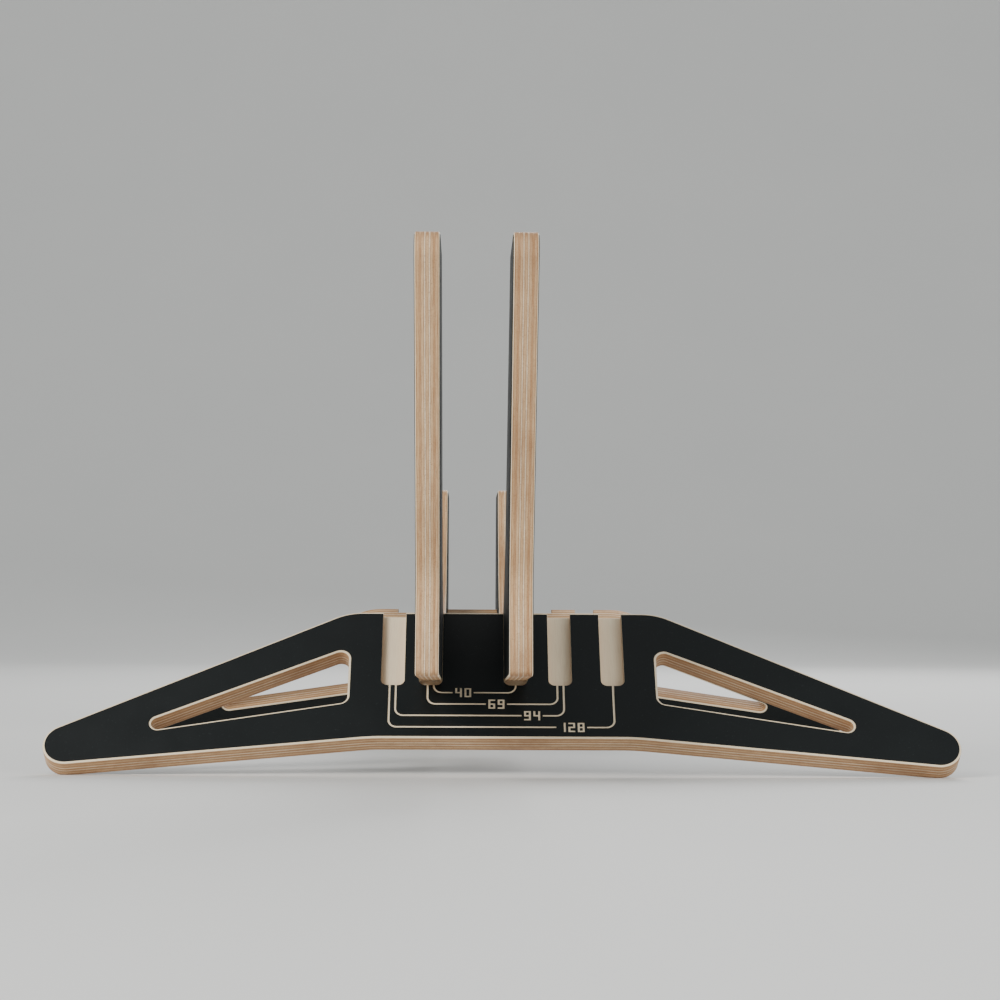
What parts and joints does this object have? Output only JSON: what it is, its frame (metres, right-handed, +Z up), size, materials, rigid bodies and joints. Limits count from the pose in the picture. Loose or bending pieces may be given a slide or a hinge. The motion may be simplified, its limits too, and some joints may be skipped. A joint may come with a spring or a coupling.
{
  "type": "bicycle wheel floor stand",
  "caption": "Flat-pack plywood floor stand that holds a bicycle wheel between upright side panels slotted over leaning, winged cross members.",
  "frame": {"origin": "on the floor, at the middle of the space the stand takes up", "axes": "+X across the stand to the viewer's right, +Y from the tall front arms to the rear arms, +Z up"},
  "size_m": [0.5824, 0.7136, 0.316],
  "materials": {
    "birch_plywood": "bare birch plywood, sanded; cut edges show the plies",
    "black_film": "smooth satin black phenolic film"
  },
  "bodies": {
    "side_panels": {"left_panel_core": "birch_plywood", "left_panel_film_outer": "black_film", "left_panel_film_inner": "black_film", "right_panel_core": "birch_plywood", "right_panel_film_outer": "black_film", "right_panel_film_inner": "black_film"},
    "front_cross": {"front_cross_core": "birch_plywood", "front_cross_film_outer": "black_film", "front_cross_film_inner": "black_film"},
    "rear_cross": {"rear_cross_core": "birch_plywood", "rear_cross_film_outer": "black_film", "rear_cross_film_inner": "black_film"}
  },
  "joints": [
    {"name": "front_cross_slide", "type": "slide", "parent": "side_panels", "child": "front_cross", "axis": [0, -0.6157, -0.788], "range_m": [0, 0.06]},
    {"name": "rear_cross_slide", "type": "slide", "parent": "side_panels", "child": "rear_cross", "axis": [0, 0.5948, -0.8039], "range_m": [0, 0.06]}
  ]
}
